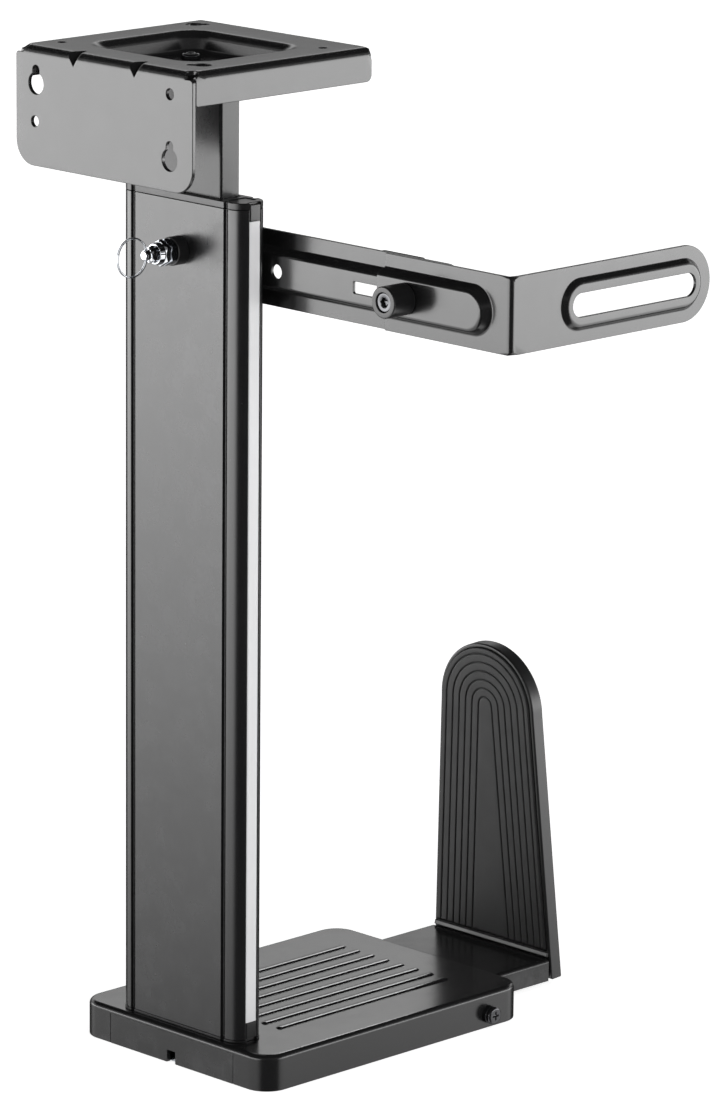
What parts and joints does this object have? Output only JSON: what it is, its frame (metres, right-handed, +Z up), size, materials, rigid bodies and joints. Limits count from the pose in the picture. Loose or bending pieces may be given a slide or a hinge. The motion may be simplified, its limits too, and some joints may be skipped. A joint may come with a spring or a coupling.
{
  "type": "under-desk computer holder",
  "caption": "Telescoping column on a desk bracket, with a ribbed base, a pull-out end plate and an L-shaped side arm, for hanging a computer under a desk.",
  "frame": {"origin": "on the base's underside, straight below the column's axis", "axes": "+Z up along the column, +X along the column's wide face towards the side arm's corner, +Y from the column towards the end plate"},
  "size_m": [0.3175, 0.3349, 0.5987],
  "materials": {
    "powder_coat": "satin black powder coat on steel",
    "anodised": "satin black anodised",
    "black_plastic": "fine moulded grain",
    "light_strip": "smooth light grey",
    "soft_pad": "matt soft plastic with grooves",
    "foam": "closed-cell foam",
    "bright_steel": "bright plated",
    "zinc_steel": "zinc plated",
    "black_steel": "black oxide"
  },
  "bodies": {
    "column_and_base": {"arm_bracket": "powder_coat", "base_housing": "powder_coat", "base_end_cover": "powder_coat", "column_profile": "anodised", "column_cap": "black_plastic", "column_foot": "black_plastic", "strip_plug_top_right": "black_plastic", "strip_plug_top_left": "black_plastic", "strip_plug_bottom_right": "black_plastic", "strip_plug_bottom_left": "black_plastic", "tube_top_glide": "black_plastic", "tray_glide_right": "black_plastic", "tray_glide_left": "black_plastic", "plunger_collar": "black_plastic", "strip_right": "light_strip", "strip_left": "light_strip", "foam_pad_arm_upper": "foam", "foam_pad_arm_lower": "foam", "plunger_body": "bright_steel", "plunger_lock_nut": "zinc_steel", "plunger_spring": "zinc_steel", "arm_nut_plate_left": "zinc_steel", "arm_nut_plate_right": "zinc_steel", "bottom_screw_1": "zinc_steel", "bottom_screw_2": "zinc_steel", "bottom_screw_3": "zinc_steel", "bottom_screw_4": "zinc_steel", "column_base_plate": "zinc_steel", "column_screw_right": "zinc_steel", "column_screw_left": "zinc_steel", "base_bottom_plate": "zinc_steel", "arm_screw_left": "black_steel", "arm_screw_right": "black_steel", "lock_screw_collar": "black_steel"},
    "mast": {"inner_tube": "powder_coat", "tube_head_plate": "black_steel", "mount_bracket": "powder_coat", "bracket_bolt_1": "black_steel", "bracket_bolt_2": "black_steel", "bracket_bolt_3": "black_steel", "bracket_bolt_4": "black_steel", "tube_foot_glide": "black_plastic"},
    "plunger": {"plunger_pin": "bright_steel"},
    "ring": {"pull_ring": "bright_steel"},
    "corner_arm": {"corner_bracket": "powder_coat", "arm_bolt": "zinc_steel", "foam_pad_corner_upper": "foam", "foam_pad_corner_lower": "foam"},
    "knob": {"arm_knob": "black_plastic", "arm_knob_insert": "bright_steel"},
    "tray": {"slide_tray": "powder_coat", "end_plate_shell": "black_plastic", "end_plate_pad": "soft_pad", "end_plate_screw_right": "black_steel", "end_plate_screw_left": "black_steel"},
    "tray_lock": {"lock_screw": "black_steel"}
  },
  "joints": [
    {"name": "height_slide", "type": "slide", "parent": "column_and_base", "child": "mast", "axis": [0, 0, 1], "range_m": [-0.03, 0.09]},
    {"name": "plunger_pull", "type": "slide", "parent": "column_and_base", "child": "plunger", "axis": [0, -1, 0], "range_m": [-0.0045, 0.0015], "stiffness_N_per_m": 300, "springref_m": -0.0045},
    {"name": "ring_swing", "type": "hinge", "parent": "plunger", "child": "ring", "pos_m": [0, -0.0365, 0.483], "axis": [0, 0, 1], "range_deg": [-70, 70]},
    {"name": "arm_slide", "type": "slide", "parent": "column_and_base", "child": "corner_arm", "axis": [1, 0, 0], "range_m": [-0.037, 0.006]},
    {"name": "arm_knob_turn", "type": "hinge", "parent": "corner_arm", "child": "knob", "pos_m": [0.1595, 0, 0.4754], "axis": [0, 1, 0], "continuous": true},
    {"name": "tray_slide", "type": "slide", "parent": "column_and_base", "child": "tray", "axis": [0, 1, 0], "range_m": [-0.05, 0.02]},
    {"name": "lock_screw_turn", "type": "hinge", "parent": "column_and_base", "child": "tray_lock", "pos_m": [0.08, 0.1675, 0.0085], "axis": [1, 0, 0], "continuous": true}
  ]
}
